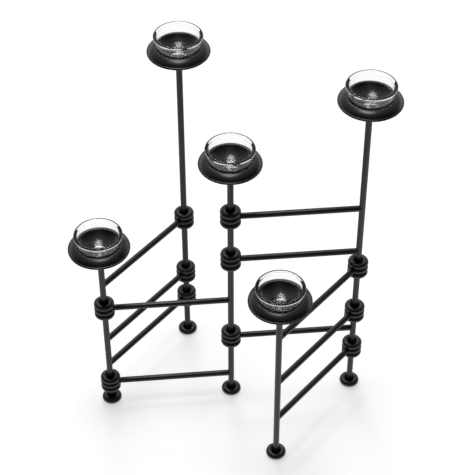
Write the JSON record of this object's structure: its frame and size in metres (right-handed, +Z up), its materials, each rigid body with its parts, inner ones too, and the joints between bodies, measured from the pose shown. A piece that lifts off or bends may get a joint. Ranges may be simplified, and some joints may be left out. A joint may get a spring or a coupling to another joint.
{
  "type": "folding tealight candle stand",
  "caption": "Folding zigzag votive stand: round black steel posts on ring feet joined by hinged rungs, with a pan and a clear glass tealight cup on each post.",
  "frame": {"origin": "centre of the underside of the middle post's ring foot", "axes": "+Z up along the posts; +X from the middle post towards the right-hand post; +Y towards the side that the tall left-hand end post stands on"},
  "size_m": [0.3366, 0.2607, 0.4243],
  "materials": {
    "black_steel": "satin black coating on round steel bar",
    "black_pan": "semi-gloss black coating on pressed steel sheet",
    "clear_glass": "clear smooth pressed glass"
  },
  "bodies": {
    "panel_c": {"post_c": "black_steel", "foot_c": "black_steel", "pan_c": "black_pan", "rivet_c": "black_pan", "rung_cb_1": "black_steel", "collar_cb_1": "black_steel", "rung_cb_2": "black_steel", "collar_cb_2": "black_steel"},
    "panel_b": {"post_b": "black_steel", "foot_b": "black_steel", "pan_b": "black_pan", "rivet_b": "black_pan", "rung_ba_1": "black_steel", "collar_ba_1": "black_steel", "rung_ba_2": "black_steel", "collar_ba_2": "black_steel", "rung_ba_3": "black_steel", "collar_ba_3": "black_steel"},
    "post_a_body": {"post_a": "black_steel", "foot_a": "black_steel", "pan_a": "black_pan", "rivet_a": "black_pan"},
    "panel_d": {"post_d": "black_steel", "foot_d": "black_steel", "pan_d": "black_pan", "rivet_d": "black_pan", "rung_dc_1": "black_steel", "collar_dc_1": "black_steel", "rung_dc_2": "black_steel", "collar_dc_2": "black_steel", "rung_dc_3": "black_steel", "collar_dc_3": "black_steel"},
    "panel_e": {"post_e": "black_steel", "foot_e": "black_steel", "pan_e": "black_pan", "rivet_e": "black_pan", "rung_ed_1": "black_steel", "collar_ed_1": "black_steel", "rung_ed_2": "black_steel", "collar_ed_2": "black_steel", "rung_ed_3": "black_steel", "collar_ed_3": "black_steel"},
    "cup_a": {"glass_a": "clear_glass"},
    "cup_b": {"glass_b": "clear_glass"},
    "cup_c": {"glass_c": "clear_glass"},
    "cup_d": {"glass_d": "clear_glass"},
    "cup_e": {"glass_e": "clear_glass"}
  },
  "joints": [
    {"name": "fold_b", "type": "hinge", "parent": "panel_c", "child": "panel_b", "pos_m": [-0.136, 0, 0], "axis": [0, 0, 1], "range_deg": [-31, 297]},
    {"name": "spin_a", "type": "hinge", "parent": "panel_b", "child": "post_a_body", "pos_m": [-0.04308, 0.0993, 0], "axis": [0, 0, 1], "continuous": true},
    {"name": "fold_c", "type": "hinge", "parent": "panel_c", "child": "panel_d", "pos_m": [0, 0, 0], "axis": [0, 0, 1], "range_deg": [-84, 84]},
    {"name": "fold_d", "type": "hinge", "parent": "panel_d", "child": "panel_e", "pos_m": [0.136, 0, 0], "axis": [0, 0, 1], "range_deg": [-29.5, 298.5]},
    {"name": "lift_cup_a", "type": "slide", "parent": "post_a_body", "child": "cup_a", "axis": [0, 0, 1], "range_m": [0, 0.025]},
    {"name": "lift_cup_b", "type": "slide", "parent": "panel_b", "child": "cup_b", "axis": [0, 0, 1], "range_m": [0, 0.025]},
    {"name": "lift_cup_c", "type": "slide", "parent": "panel_c", "child": "cup_c", "axis": [0, 0, 1], "range_m": [0, 0.025]},
    {"name": "lift_cup_d", "type": "slide", "parent": "panel_d", "child": "cup_d", "axis": [0, 0, 1], "range_m": [0, 0.025]},
    {"name": "lift_cup_e", "type": "slide", "parent": "panel_e", "child": "cup_e", "axis": [0, 0, 1], "range_m": [0, 0.025]}
  ]
}
